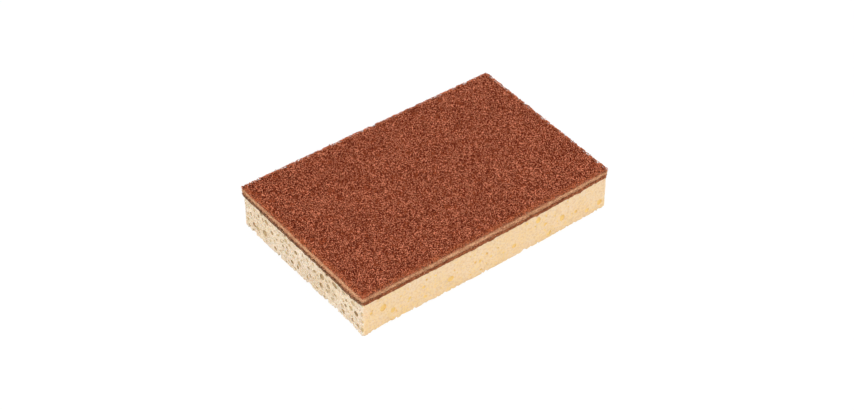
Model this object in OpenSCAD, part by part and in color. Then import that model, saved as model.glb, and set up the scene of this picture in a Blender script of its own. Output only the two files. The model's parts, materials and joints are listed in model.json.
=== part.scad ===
// Household cleaning sponge: a block of cut cellulose sponge with a non-woven scouring pad glued on top.
// The origin is the middle of the resting face, +X runs along the long sides and +Z goes up to the pad.

/* [Outline] */
// Length along the middle of the block
length = 140.1; // [100:0.1:180]
// How much longer the far long side is than the near one, as the block was cut slightly out of square
length_skew = 1.4; // [0:0.1:4]
// Width across the middle of the block, without the swell of its long sides
width = 91.2; // [60:0.1:120]
// How much wider the left end is than the right end
width_taper = 2.4; // [0:0.1:6]
// Swell of each long side of the sponge at its middle
side_bow = 0.9; // [0:0.1:3]
// Radius of the upright corners
corner_r = 1.4; // [0.6:0.1:4]

/* [Layers] */
// Thickness of the cellulose sponge
sponge_t = 17.2; // [12:0.1:30]
// Thickness of the glue line between sponge and pad
glue_t = 0.8; // [0.4:0.1:2]
// Thickness of the scouring pad
pad_t = 4.5; // [3.6:0.1:10]

/* [Sponge pores] */
// Spacing of the pores on the short ends, where the blade opened the foam across its grain
end_pore_pitch = 4.4; // [4:0.1:8]
// Spacing of the pores on the long sides, which were pressed smooth
side_pore_pitch = 7.6; // [5:0.1:14]
// Spacing of the pores on the resting face
base_pore_pitch = 9.2; // [6:0.1:16]
// Radius of the smallest pore
pore_r_min = 0.55; // [0.4:0.05:0.8]
// Radius of the largest scattered pore
pore_r_max = 1.5; // [0.9:0.05:1.8]
// Unbroken rim left between the pores of the resting face and its edge
base_rim = 4; // [3:0.5:10]
// Unbroken rim left between the pores of the sides and the upright corners
corner_rim = 1.7; // [1:0.1:4]
// Unbroken rim left between the pores and the glue line
glue_rim = 0.5; // [0.2:0.1:2]
// Spacing of the pores that nibble the lower edge of the short ends
end_nibble_pitch = 7; // [5:0.5:20]
// Spacing of the pores that nibble the lower edge of the long sides
side_nibble_pitch = 12; // [5:0.5:20]
// Radius of the largest pore on a lower edge
nibble_r_max = 1.2; // [0.9:0.05:1.6]
// How far those pores reach below the edge
nibble = 0.4; // [0.1:0.05:0.4]
// Radius of the largest pore, which the blade cut open on the left end
big_pore_r = 1.9; // [1.5:0.05:2.2]

/* [Scouring pad] */
// Swell of the pad's top edge along the long sides; its glued foot follows the sponge
pad_bow = 0.1; // [0:0.1:3]
// Radius at which the pad's top edge rolls over
pad_edge_r = 1.8; // [0.6:0.1:3]
// Spacing of the lumps in the web
lump_pitch = 3; // [2.5:0.1:8]
// Height of the lumps above and below the mean surface
lump_h = 0.16; // [0:0.02:0.4]
// Depth to which the cut edges of pad and glue line are frayed
fray = 0.35; // [0:0.05:0.8]

/* [Hidden] */

// Outward direction of each side, round from the near long side
OUT = [[0, -1], [1, 0], [0, 1], [-1, 0]];
NEAR = 0;
RIGHT = 1;
FAR = 2;
LEFT = 3;
pad_z = sponge_t + glue_t;
length_near = length - length_skew / 2;
length_far = length + length_skew / 2;
width_left = width + width_taper / 2;
width_right = width - width_taper / 2;

// Steps round each corner, and along the long and short sides of a smooth and of a frayed outline
corner_steps = 4;
smooth_steps = [8, 2];
frayed_steps = [46, 30];
pore_fn = 24;
// How strongly small pores outnumber large ones
pore_skew = 2.2;
// Least wall between two neighbouring pores
pore_wall = 0.15;
// How far a pore's middle lies outside and inside the cut, as shares of its radius
cut_out = -0.35;
cut_in = 0.55;
// Distances of the rows of points on the rolled edge, as shares of its radius
roll_rows = [0, 0.12, 0.45];

// Seeds of the scattered pores, the fraying and the lumps
side_seeds = [35, 23, 47, 11];
base_seed = 59;
bond_seed = 71;
lump_seed = 83;
foot_seed = 97;

// The pores that stand out at first sight: share of the way along the side, share of the way up, share of the
// largest pore's radius
left_marks = [
  [0.18, 0.4, 0.8], [0.21, 0.85, 0.62], [0.24, 0.63, 0.66], [0.4, 0.3, 0.6], [0.47, 0.42, 0.62],
  [0.54, 0.7, 0.6], [0.67, 0.71, 1], [0.67, 0.46, 0.68], [0.72, 0.62, 0.7], [0.775, 0.81, 0.9],
  [0.8, 0.63, 0.68], [0.86, 0.56, 0.62], [0.95, 0.54, 0.95]
];
near_marks = [
  [0.082, 0.64, 0.74], [0.12, 0.35, 0.6], [0.19, 0.5, 0.4], [0.24, 0.62, 0.4], [0.345, 0.44, 0.66],
  [0.46, 0.48, 0.5], [0.7, 0.83, 0.6], [0.725, 0.58, 0.5], [0.75, 0.2, 0.56], [0.805, 0.47, 0.84],
  [0.865, 0.42, 0.46], [0.91, 0.28, 0.5], [0.965, 0.35, 0.62]
];
right_marks = [for (m = left_marks) [1 - m[0], m[1], m[2]]];
side_marks = [near_marks, right_marks, near_marks, left_marks];

function blend(a, b, t) = a + (b - a) * t;

// Corner of the outline at the start of a side
function corner(side, inset) =
  let (s = side % 4)
  s == 0 ? [-length_near / 2 + inset, -width_left / 2 + inset]
  : s == 1 ? [length_near / 2 - inset, -width_right / 2 + inset]
  : s == 2 ? [length_far / 2 - inset, width_right / 2 - inset]
  : [-length_far / 2 + inset, width_left / 2 - inset];

function side_length(side) = norm(corner(side + 1, 0) - corner(side, 0));

// Point at share t of the way along a side; only the long sides swell
function side_point(side, t, inset) =
  blend(corner(side, inset), corner(side + 1, inset), t)
  + OUT[side] * (side % 2 == 0 ? side_bow : 0) * 4 * t * (1 - t);

// Closed outline with rounded corners, each point drawn in by its own share of the fray
function outline(steps, frayed, key) =
  [for (side = [0:3])
    let (
      middle = corner(side, corner_r),
      n = steps[side % 2],
      draw = rands(0, frayed, n + corner_steps, key + side)
    )
    each concat(
      [for (j = [0:corner_steps])
        let (a = 180 + 90 * side + 90 * j / corner_steps)
        middle + corner_r * [cos(a), sin(a)]],
      [for (i = [1:n - 1]) side_point(side, i / n, draw[i])]
    )];

// Places of the pores that a jittered grid puts on a face, as [along, up, radius]
function scatter(span, rise, pitch, key) =
  let (
    columns = floor(span / pitch),
    rows = floor(rise / pitch),
    dice = rands(0, 1, 3 * columns * rows, key)
  )
  [for (i = [0:columns - 1], j = [0:rows - 1])
    let (
      d = 3 * (i * rows + j),
      r = blend(pore_r_min, pore_r_max, pow(dice[d], pore_skew)),
      play = max(0, pitch / 2 - r - pore_wall),
      cell = [span / columns, rise / rows]
    )
    [
      (i + 0.5) * cell[0] + play * (2 * dice[d + 1] - 1),
      (j + 0.5) * cell[1] + play * (2 * dice[d + 2] - 1),
      r
    ]];

// Marks of one side in the same form as scattered pores
function marked(marks, span) =
  [for (m = marks) [m[0] * span, m[1] * sponge_t, m[2] * big_pore_r]];

function is_clear(pore, marks) =
  len([for (m = marks) if (norm([pore[0] - m[0], pore[1] - m[1]]) < pore[2] + m[2] + pore_wall) 1]) == 0;

// Pores along the lower edge of a side, which reach just below it
function nibbles(span, pitch, key) =
  let (n = floor(span / pitch), dice = rands(0, 1, 2 * n, key))
  [for (i = [0:n - 1])
    let (r = blend(pore_r_min, nibble_r_max, dice[2 * i]))
    [(i + 0.5 + 0.5 * (dice[2 * i + 1] - 0.5)) * span / n, r - nibble, r]];

// Scattered pores moved along a side, without those that would meet one of the marks
function placed(pores, start, marks) =
  [for (p = pores) let (q = [p[0] + start, p[1], p[2]]) if (is_clear(q, marks)) q];

// Spheres that open the pores of one side, each with its pole straight out of the face
module side_pores(side, pitch, nibble_pitch) {
  span = side_length(side);
  open_span = span - 2 * corner_rim;
  key = side_seeds[side];
  big = marked(side_marks[side], span);
  small = placed(scatter(open_span, sponge_t, pitch, key), corner_rim, big);
  low = placed(nibbles(open_span, nibble_pitch, key + 1), corner_rim, concat(big, small));
  pores = concat(big, small, low);
  depth = rands(cut_out, cut_in, len(pores), key + 2);
  for (k = [0:len(pores) - 1]) {
    r = pores[k][2];
    place = side_point(side, pores[k][0] / span, depth[k] * r);
    translate([place[0], place[1], min(pores[k][1], sponge_t - glue_rim - r)])
      rotate(side % 2 == 0 ? [90, 0, 0] : [0, 90, 0])
        sphere(r = r, $fn = pore_fn);
  }
}

// Spheres that open the pores of the resting face
module base_pores() {
  span = min(length_near, length_far) - 2 * base_rim;
  rise = min(width_left, width_right) - 2 * base_rim;
  pores = scatter(span, rise, base_pore_pitch, base_seed);
  depth = rands(cut_out, cut_in, len(pores), base_seed + 1);
  for (k = [0:len(pores) - 1]) {
    p = pores[k];
    translate([p[0] - span / 2, p[1] - rise / 2, depth[k] * p[2]]) sphere(r = p[2], $fn = pore_fn);
  }
}

module sponge_block() {
  color("antiquewhite") difference() {
    linear_extrude(sponge_t) polygon(outline(smooth_steps, 0, 1));
    for (side = [LEFT, RIGHT]) side_pores(side, end_pore_pitch, end_nibble_pitch);
    for (side = [NEAR, FAR]) side_pores(side, side_pore_pitch, side_nibble_pitch);
    base_pores();
  }
}

module bond_layer() {
  color("saddlebrown") translate([0, 0, sponge_t])
    linear_extrude(glue_t) polygon(outline(frayed_steps, fray, bond_seed));
}

// Distances from one edge to the other at which the pad's top has a row of points
function rows_across(span) =
  let (
    roll = pad_edge_r,
    n = ceil((span - 2 * roll) / lump_pitch),
    last = len(roll_rows) - 1
  )
  concat(
    [for (share = roll_rows) share * roll],
    [for (i = [0:n]) roll + (span - 2 * roll) * i / n],
    [for (i = [last:-1:0]) span - roll_rows[i] * roll]
  );

// Drop of the rolled edge at a distance from it
function roll_drop(d) =
  d >= pad_edge_r ? 0 : pad_edge_r - sqrt(pow(pad_edge_r, 2) - pow(pad_edge_r - d, 2));

function to_edge(d, span) = min(d, span - d);

// Place in plan of a point that lies at a distance along and across the pad
function pad_plan(at, pad_size, bow) =
  let (
    u = at[0] / pad_size[0],
    v = at[1] / pad_size[1],
    near_row = blend(corner(NEAR, 0), corner(RIGHT, 0), u),
    far_row = blend(corner(LEFT, 0), corner(FAR, 0), u),
    from_corner = norm([to_edge(at[0], pad_size[0]), to_edge(at[1], pad_size[1])]),
    pull = corner_r * (1 - sqrt(0.5)) * max(0, 1 - from_corner / corner_r)
  )
  blend(near_row, far_row, v)
  + [0, bow * 4 * u * (1 - u) * (2 * v - 1)]
  + pull * [u < 0.5 ? 1 : -1, v < 0.5 ? 1 : -1];

// The web's top is a grid of lumps that rolls over at the edges and comes down to the frayed, glued foot
module scouring_pad() {
  pad_size = [length, width];
  xs = rows_across(pad_size[0]);
  ys = rows_across(pad_size[1]);
  nx = len(xs);
  ny = len(ys);
  grid = [for (x = xs, y = ys) [x, y]];
  lumps = rands(-lump_h, lump_h, nx * ny, lump_seed);
  top = [for (k = [0:nx * ny - 1])
    let (
      at = pad_plan(grid[k], pad_size, pad_bow),
      d = min(to_edge(grid[k][0], pad_size[0]), to_edge(grid[k][1], pad_size[1])),
      bump = d == 0 ? 0 : lumps[k]
    )
    [at[0], at[1], pad_t - lump_h - roll_drop(d) + bump]];
  // Boundary of the grid, anticlockwise seen from above
  rim = concat(
    [for (i = [0:nx - 2]) i * ny],
    [for (j = [0:ny - 2]) (nx - 1) * ny + j],
    [for (i = [nx - 1:-1:1]) i * ny + ny - 1],
    [for (j = [ny - 1:-1:1]) j]
  );
  m = len(rim);
  draw = rands(0, fray, m, foot_seed);
  foot = [for (k = [0:m - 1])
    let (p = pad_plan(grid[rim[k]], pad_size, side_bow), s = 1 - draw[k] / norm(p))
    [p[0] * s, p[1] * s, 0]];
  below = nx * ny;
  color("sienna") translate([0, 0, pad_z]) polyhedron(
    points = concat(top, foot),
    faces = concat(
      [for (i = [0:nx - 2], j = [0:ny - 2], half = [0, 1])
        let (a = i * ny + j, b = a + ny)
        half == 0 ? [a, a + 1, b + 1] : [a, b + 1, b]],
      [for (k = [0:m - 1], half = [0, 1])
        let (n = (k + 1) % m)
        half == 0 ? [rim[k], rim[n], below + n] : [rim[k], below + n, below + k]],
      [[for (k = [0:m - 1]) below + k]]
    )
  );
}

sponge_block();
bond_layer();
scouring_pad();
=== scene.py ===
"""Looks of the cleaning sponge: a cut cellulose block, a dark glue line and a web of resin-coated fibres.

Lengths are in metres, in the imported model's frame: +X runs along the long sides, +Z up to the pad.
Colours are written as sRGB numbers from 0 to 255, as they should show under plain light.
"""

import json
import logging
import math
from collections.abc import Callable, Iterator, Sequence
from contextlib import contextmanager
from dataclasses import dataclass
from enum import Enum
from itertools import product

import bpy
import numpy as np
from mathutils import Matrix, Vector

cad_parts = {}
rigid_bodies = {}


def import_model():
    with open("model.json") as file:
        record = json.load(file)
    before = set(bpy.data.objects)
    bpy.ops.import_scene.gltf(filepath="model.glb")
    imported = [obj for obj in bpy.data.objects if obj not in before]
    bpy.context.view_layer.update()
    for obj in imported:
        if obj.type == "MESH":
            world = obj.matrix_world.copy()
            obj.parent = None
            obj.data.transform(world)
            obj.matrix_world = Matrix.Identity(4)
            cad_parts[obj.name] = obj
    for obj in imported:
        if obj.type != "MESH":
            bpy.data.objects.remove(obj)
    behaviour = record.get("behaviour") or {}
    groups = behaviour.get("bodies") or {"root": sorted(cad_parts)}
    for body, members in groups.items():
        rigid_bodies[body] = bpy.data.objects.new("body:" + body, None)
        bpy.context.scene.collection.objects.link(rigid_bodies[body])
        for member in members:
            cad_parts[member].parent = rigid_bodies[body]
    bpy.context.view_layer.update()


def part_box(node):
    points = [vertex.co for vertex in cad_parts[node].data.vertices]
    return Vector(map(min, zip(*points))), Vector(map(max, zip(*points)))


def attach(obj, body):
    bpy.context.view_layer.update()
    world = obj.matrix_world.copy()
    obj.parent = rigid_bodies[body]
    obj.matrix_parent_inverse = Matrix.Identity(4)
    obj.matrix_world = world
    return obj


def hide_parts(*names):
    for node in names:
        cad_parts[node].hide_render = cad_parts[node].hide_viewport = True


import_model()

Array = np.ndarray
Piece = bpy.types.Object
Colour = tuple[float, ...]
Range = tuple[float, float]
Triple = tuple[float, float, float]
Numbered = tuple[int, float, float]

LOG = logging.getLogger("cleaning_sponge")
MM = 0.001
TINY = 1e-12
WHITE = (1.0, 1.0, 1.0, 1.0)
BODY = "root"

# Corners of a fibre's cross-section
CORNERS = 3


class Face(Enum):
    """The faces that the blade left open, each by the axis it faces, its side and the way along it."""

    LEFT = (0, -1, -1)
    RIGHT = (0, 1, 1)
    NEAR = (1, -1, 1)
    FAR = (1, 1, -1)
    BASE = (2, -1, 1)


def srgb(*shown: int) -> Colour:
    """Turn a colour as it shows into the linear colour that a shader takes.

    Args:
        *shown: Red, green and blue, from 0 to 255.

    Returns:
        Linear red, green, blue and an alpha of 1.
    """
    share = np.array(shown) / 255
    linear = np.where(share <= 0.04045, share / 12.92, ((share + 0.055) / 1.055) ** 2.4)
    return (*linear.tolist(), 1.0)


def fade(distance: Array, reach: float) -> Array:
    """Return 1 at no distance, falling evenly to 0 at the reach."""
    return np.clip(1 - distance / reach, 0, 1)


def outward(points: Array, gaps: Array, reach: float) -> Array:
    """Return the level way out at points with these gaps to the outline, fading to none at the reach."""
    return np.sign(points[:, :2]) * fade(gaps, reach)


def unit(vectors: Array) -> Array:
    """Return vectors brought to a length of one."""
    return vectors / np.maximum(np.linalg.norm(vectors, axis=-1, keepdims=True), TINY)


class Wave:
    """Smooth seeded noise over space: a sum of plane waves with random directions and phases."""

    def __init__(self, seed: int, length: float, count: int = 14) -> None:
        """Draw the waves.

        Args:
            seed: Seed of the draw.
            length: Mean wavelength.
            count: How many waves are summed.
        """
        dice = np.random.default_rng(seed)
        way = unit(dice.normal(size=(count, 3)))
        self.waves = way * (2 * math.pi / (length * dice.uniform(0.6, 1.6, (count, 1))))
        self.phases = dice.uniform(0, 2 * math.pi, count)

    def at(self, points: Array) -> Array:
        """Return the noise at each point, about -1 to 1."""
        return np.sin(points @ self.waves.T + self.phases).sum(1) / math.sqrt(len(self.phases))


def ripple(points: Array, waves: Sequence[Numbered]) -> Array:
    """Return the sum at each point of waves, each given by its seed, wavelength and height."""
    return sum(height * Wave(seed, length).at(points) for seed, length, height in waves)


@dataclass
class Plan:
    """Outline of the block: a tapering rectangle, a little out of square, whose long sides swell."""

    length: float
    width: float
    skew: float = 1.4 * MM
    taper: float = 2.4 * MM
    bow: float = 0.9 * MM
    corner_blend: float = 1.5 * MM

    @property
    def half(self) -> Array:
        """Half the length and half the width."""
        return np.array([self.length / 2, self.width / 2])

    def gaps(self, points: Array) -> Array:
        """Return how far points of the plain block lie inside its ends and inside its long sides."""
        return self.half - np.abs(points[:, :2])

    def lean(self, gaps: Array) -> Array:
        """Return, from the gaps to both, how far points belong to a long side and not to an end."""
        return np.clip((gaps[:, 0] - gaps[:, 1]) / self.corner_blend + 0.5, 0, 1)

    def warp(self, points: Array, bow: float | Array | None = None) -> Array:
        """Bend points of a plain rectangular block into the true outline.

        Args:
            points: Points of the plain block.
            bow: Swell of the long sides, for all points or for each; the block's own if left out.

        Returns:
            The moved points.
        """
        swell = self.bow if bow is None else bow
        along = points[:, 0] / self.length
        across = points[:, 1] / self.width
        out = points.copy()
        out[:, 0] *= 1 + self.skew * across / self.length
        out[:, 1] *= 1 - self.taper * along / self.width
        out[:, 1] += swell * np.clip(1 - 4 * along**2, 0, 1) * 2 * across
        return out


@dataclass
class Seam:
    """The glue line as it lies between sponge and pad: not quite level along the two sides in view."""

    plan: Plan
    reach: float = 12 * MM
    near_rise: float = 0.45 * MM

    # Places along the left end, as shares of the width from the middle, and the rise at each in millimetres
    left_places: tuple[float, ...] = (-0.5, -0.42, 0.5)
    left_rises: tuple[float, ...] = (0.1, -0.7, 0.5)

    def rise(self, points: Array) -> Array:
        """Find how far the line lies above its mean level.

        Args:
            points: Points of the plain block.

        Returns:
            One height for each.
        """
        half = self.plan.half
        left = np.interp(points[:, 1] / self.plan.width, self.left_places, self.left_rises) * MM
        at_left, at_near = np.exp(-(((points[:, :2] + half) / self.reach) ** 2)).T
        return left * at_left + self.near_rise * at_near * (1 - at_left)


class Bench:
    """The hand work on meshes: adds primitives, runs edit-mode operators and applies modifiers."""

    @staticmethod
    def clear() -> None:
        """Deselect everything."""
        bpy.ops.object.select_all(action="DESELECT")

    @staticmethod
    def pick(piece: Piece) -> None:
        """Make one object the only selected one, and the active one.

        Args:
            piece: The object.
        """
        Bench.clear()
        piece.select_set(True)
        bpy.context.view_layer.objects.active = piece

    @staticmethod
    @contextmanager
    def editing(piece: Piece, kind: str = "EDGE", chosen: Sequence[int] = ()) -> Iterator[None]:
        """Open an object in edit mode for a while.

        Args:
            piece: The object.
            kind: What is selected there, EDGE or VERT.
            chosen: The numbers of those that are selected at first.

        Yields:
            Nothing.
        """
        Bench.pick(piece)
        bpy.ops.object.mode_set(mode="EDIT")
        bpy.ops.mesh.select_mode(type=kind)
        bpy.ops.mesh.select_all(action="DESELECT")
        bpy.ops.object.mode_set(mode="OBJECT")
        parts = piece.data.edges if kind == "EDGE" else piece.data.vertices
        for number in chosen:
            parts[number].select = True
        bpy.ops.object.mode_set(mode="EDIT")
        yield
        bpy.ops.object.mode_set(mode="OBJECT")

    @staticmethod
    def block(name: str, half: Array, low: float, high: float, cell: float, corner: float = 0.0) -> Piece:
        """Add a box round the upright axis, with its place in its mesh, and cut it into small faces.

        Args:
            name: Name of the new piece.
            half: Half its length and width.
            low: Height of its underside.
            high: Height of its top.
            cell: Greatest length of a face.
            corner: Radius of its upright edges.

        Returns:
            The new object.
        """
        Bench.clear()
        bpy.ops.mesh.primitive_cube_add(size=1, location=(0, 0, (low + high) / 2))
        piece = bpy.context.active_object
        piece.name = name
        piece.data.name = name
        piece.scale = (2 * half[0], 2 * half[1], high - low)
        bpy.ops.object.transform_apply(location=True, rotation=True, scale=True)
        if corner:
            level = Bench.places(piece)[:, :2]
            upright = [edge.index for edge in piece.data.edges if np.allclose(*level[list(edge.vertices)])]
            with Bench.editing(piece, "EDGE", upright):
                bpy.ops.mesh.bevel(offset=corner, segments=4)
        with Bench.editing(piece):
            for axis, (start, end) in enumerate(((-half[0], half[0]), (-half[1], half[1]), (low, high))):
                normal = Vector([float(axis == k) for k in range(3)])
                count = math.ceil((end - start) / cell)
                for step in range(1, count):
                    place = start + (end - start) * step / count
                    bpy.ops.mesh.select_all(action="SELECT")
                    bpy.ops.mesh.bisect(plane_co=normal * place, plane_no=normal)
        return piece

    @staticmethod
    def cut_away(piece: Piece, cutter: Piece) -> None:
        """Cut one closed object out of another and delete it.

        Args:
            piece: The object that is cut.
            cutter: The object that cuts.
        """
        Bench.pick(piece)
        modifier = piece.modifiers.new("Boolean", "BOOLEAN")
        modifier.operation = "DIFFERENCE"
        modifier.solver = "MANIFOLD"
        modifier.object = cutter
        bpy.ops.object.modifier_apply(modifier=modifier.name)
        bpy.data.objects.remove(cutter)

    @staticmethod
    def places(piece: Piece) -> Array:
        """Read the vertices of a mesh object.

        Args:
            piece: The object.

        Returns:
            One row for each vertex.
        """
        found = np.empty(len(piece.data.vertices) * 3, np.float32)
        piece.data.vertices.foreach_get("co", found)
        return found.reshape(-1, 3).astype(np.float64)

    @staticmethod
    def move(piece: Piece, points: Array) -> None:
        """Put the vertices of a mesh object at new places."""
        piece.data.vertices.foreach_set("co", points.astype(np.float32).ravel())
        piece.data.update()

    @staticmethod
    def mark(piece: Piece, name: str, values: Array) -> None:
        """Store one number for each vertex, which a material reads by its name."""
        layer = piece.data.attributes.new(name, "FLOAT", "POINT")
        layer.data.foreach_set("value", values.astype(np.float32))

    @staticmethod
    def dress(piece: Piece, crease: float, material: bpy.types.Material) -> Piece:
        """Shade a piece smooth and give it its material.

        Args:
            piece: The piece.
            crease: Angle in degrees from which an edge stays sharp.
            material: Its material.

        Returns:
            The same piece.
        """
        Bench.pick(piece)
        bpy.ops.object.shade_smooth_by_angle(angle=math.radians(crease))
        piece.data.materials.clear()
        piece.data.materials.append(material)
        return piece

    @staticmethod
    def mesh(name: str, points: Array, faces: Array) -> Piece:
        """Make an object from points and triangles.

        Args:
            name: Name of the new piece.
            points: One row for each vertex.
            faces: One row of vertex numbers for each face.

        Returns:
            The new object.
        """
        data = bpy.data.meshes.new(name)
        data.vertices.add(len(points))
        data.vertices.foreach_set("co", points.astype(np.float32).ravel())
        data.loops.add(faces.size)
        data.loops.foreach_set("vertex_index", faces.astype(np.int32).ravel())
        data.polygons.add(len(faces))
        data.polygons.foreach_set("loop_start", np.arange(0, faces.size, faces.shape[1], dtype=np.int32))
        data.update(calc_edges=True)
        data.validate()
        piece = bpy.data.objects.new(name, data)
        bpy.context.scene.collection.objects.link(piece)
        return piece


def math_operator(operation: str, reflected: bool = False) -> "Callable[[Wire, Wire | float], Wire]":
    """Make one of the operators of a wire.

    Args:
        operation: What its Math node does.
        reflected: Whether the other operand comes first.

    Returns:
        The operator's method.
    """

    def method(self: "Wire", other: "Wire | float") -> "Wire":
        """Add a Math node on both operands and return its result."""
        first, second = (other, self) if reflected else (self, other)
        return self.nodes.node("ShaderNodeMath", {"operation": operation}, {0: first, 1: second})

    return method


class Wire:
    """A number that a material's nodes pass on; arithmetic on it adds Math nodes."""

    def __init__(self, nodes: "Nodes", socket: bpy.types.NodeSocket) -> None:
        """Hold a socket of a node tree."""
        self.nodes = nodes
        self.socket = socket

    __add__ = math_operator("ADD")
    __radd__ = math_operator("ADD", True)
    __sub__ = math_operator("SUBTRACT")
    __rsub__ = math_operator("SUBTRACT", True)
    __mul__ = math_operator("MULTIPLY")
    __rmul__ = math_operator("MULTIPLY", True)


class Nodes:
    """A node tree in the making, of a material or of the world."""

    def __init__(self, tree: bpy.types.NodeTree) -> None:
        """Take a node tree over and empty it."""
        self.tree = tree
        tree.nodes.clear()

    def fill(self, socket: bpy.types.NodeSocket, value: object) -> None:
        """Link an input socket to a wire, or set it to a value.

        Args:
            socket: The socket.
            value: The wire or the value.
        """
        if isinstance(value, Wire):
            self.tree.links.new(value.socket, socket)
        else:
            socket.default_value = value

    def node(
        self,
        kind: str,
        settings: dict[str, object] | None = None,
        values: dict[int | str, object] | None = None,
        out: int | str | None = 0,
    ) -> Wire | None:
        """Add a node, set it, and fill its sockets.

        Args:
            kind: The node's type.
            settings: Its own properties; "stops" holds the places and colours of a ramp.
            values: The value or the wire of each input socket, by number or name.
            out: The output socket that is passed on, or None for a node that ends the tree.

        Returns:
            A wire from that output, if there is one.
        """
        made = self.tree.nodes.new(kind)
        for key, value in (settings or {}).items():
            if key == "stops":
                self._set_stops(made, value)
            else:
                setattr(made, key, value)
        for key, value in (values or {}).items():
            self.fill(made.inputs[key], value)
        return None if out is None else Wire(self, made.outputs[out])

    @staticmethod
    def _set_stops(ramp: bpy.types.Node, stops: Sequence[tuple[float, Colour]]) -> None:
        """Give a colour ramp its stops.

        Args:
            ramp: The ramp's node.
            stops: Place and colour of each stop, from the lowest to the highest.
        """
        elements = ramp.color_ramp.elements
        while len(elements) < len(stops):
            elements.new(1.0)
        for element, (place, colour) in zip(elements, stops, strict=True):
            element.position = place
            element.color = colour

    def in_view(self) -> Wire:
        """Tell rays from the camera, straight or by way of gloss or glass, from light.

        Returns:
            A wire with 1 for what is in view and 0 for light.
        """
        kinds = ("Camera", "Glossy", "Transmission")
        camera, gloss, glass = (self.node("ShaderNodeLightPath", out=f"Is {kind} Ray") for kind in kinds)
        return camera + gloss + glass

    def where(self) -> Wire:
        """Return the place on the object."""
        return self.node("ShaderNodeTexCoord", out="Object")

    def stored(self, name: str) -> Wire:
        """Return a number that the mesh stores under this name."""
        return self.node("ShaderNodeAttribute", {"attribute_name": name}, out="Fac")

    def noise(self, size: float, detail: float = 2.0, rough: float = 0.5, place: Wire | None = None) -> Wire:
        """Return noise whose blotches are about this size, from 0 to 1."""
        values = {"Vector": place or self.where(), "Scale": 1 / size, "Detail": detail, "Roughness": rough}
        return self.node("ShaderNodeTexNoise", None, values, "Fac")

    def streaks(self) -> Wire:
        """Return noise drawn out into the thin level layers of the web's cut sides, from 0 to 1."""
        drawn = self.node("ShaderNodeVectorMath", {"operation": "MULTIPLY"}, {0: self.where(), 1: (1, 1, 6)})
        return self.noise(2.4 * MM, 2, 0.6, drawn)

    def cells(self, size: float) -> Wire:
        """Return the distance to the walls between scattered cells of about this size."""
        values = {"Vector": self.where(), "Scale": 1 / size}
        return self.node("ShaderNodeTexVoronoi", {"feature": "DISTANCE_TO_EDGE"}, values, "Distance")

    def spread(self, value: Wire, low: float, high: float) -> Wire:
        """Return a value stretched so that low becomes 0 and high becomes 1, with both ends eased."""
        values = {"Value": value, "From Min": low, "From Max": high}
        return self.node("ShaderNodeMapRange", {"interpolation_type": "SMOOTHSTEP"}, values)

    def mixed(self, share: Wire | float, first: object, second: object) -> Wire:
        """Return the mix of two colours, where 0 gives the first and 1 the second."""
        values = {"Factor": share, 6: first, 7: second}
        return self.node("ShaderNodeMix", {"data_type": "RGBA", "clamp_factor": True}, values, 2)

    def bumped(self, height: Wire, depth: float, strength: float = 1.0) -> Wire:
        """Return a normal that follows a height, from 0 to 1, over a depth in metres."""
        values = {"Height": height, "Distance": depth, "Strength": strength}
        return self.node("ShaderNodeBump", None, values, "Normal")


class Finish(Nodes):
    """One procedural material in the making, round a Principled shader."""

    def __init__(self, name: str) -> None:
        """Start the material.

        Args:
            name: Name of the material.
        """
        self.material = bpy.data.materials.new(name)
        self.material.use_nodes = True
        super().__init__(self.material.node_tree)
        self.shader = self.tree.nodes.new("ShaderNodeBsdfPrincipled")
        self.output = self.tree.nodes.new("ShaderNodeOutputMaterial")
        self.show(Wire(self, self.shader.outputs[0]))

    def show(self, surface: Wire) -> None:
        """Link a shader to the material's output."""
        self.fill(self.output.inputs["Surface"], surface)

    def feed(self, **sockets: object) -> None:
        """Fill the Principled shader's sockets, named with underscores for blanks."""
        for key, value in sockets.items():
            self.fill(self.shader.inputs[key.replace("_", " ")], value)


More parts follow.
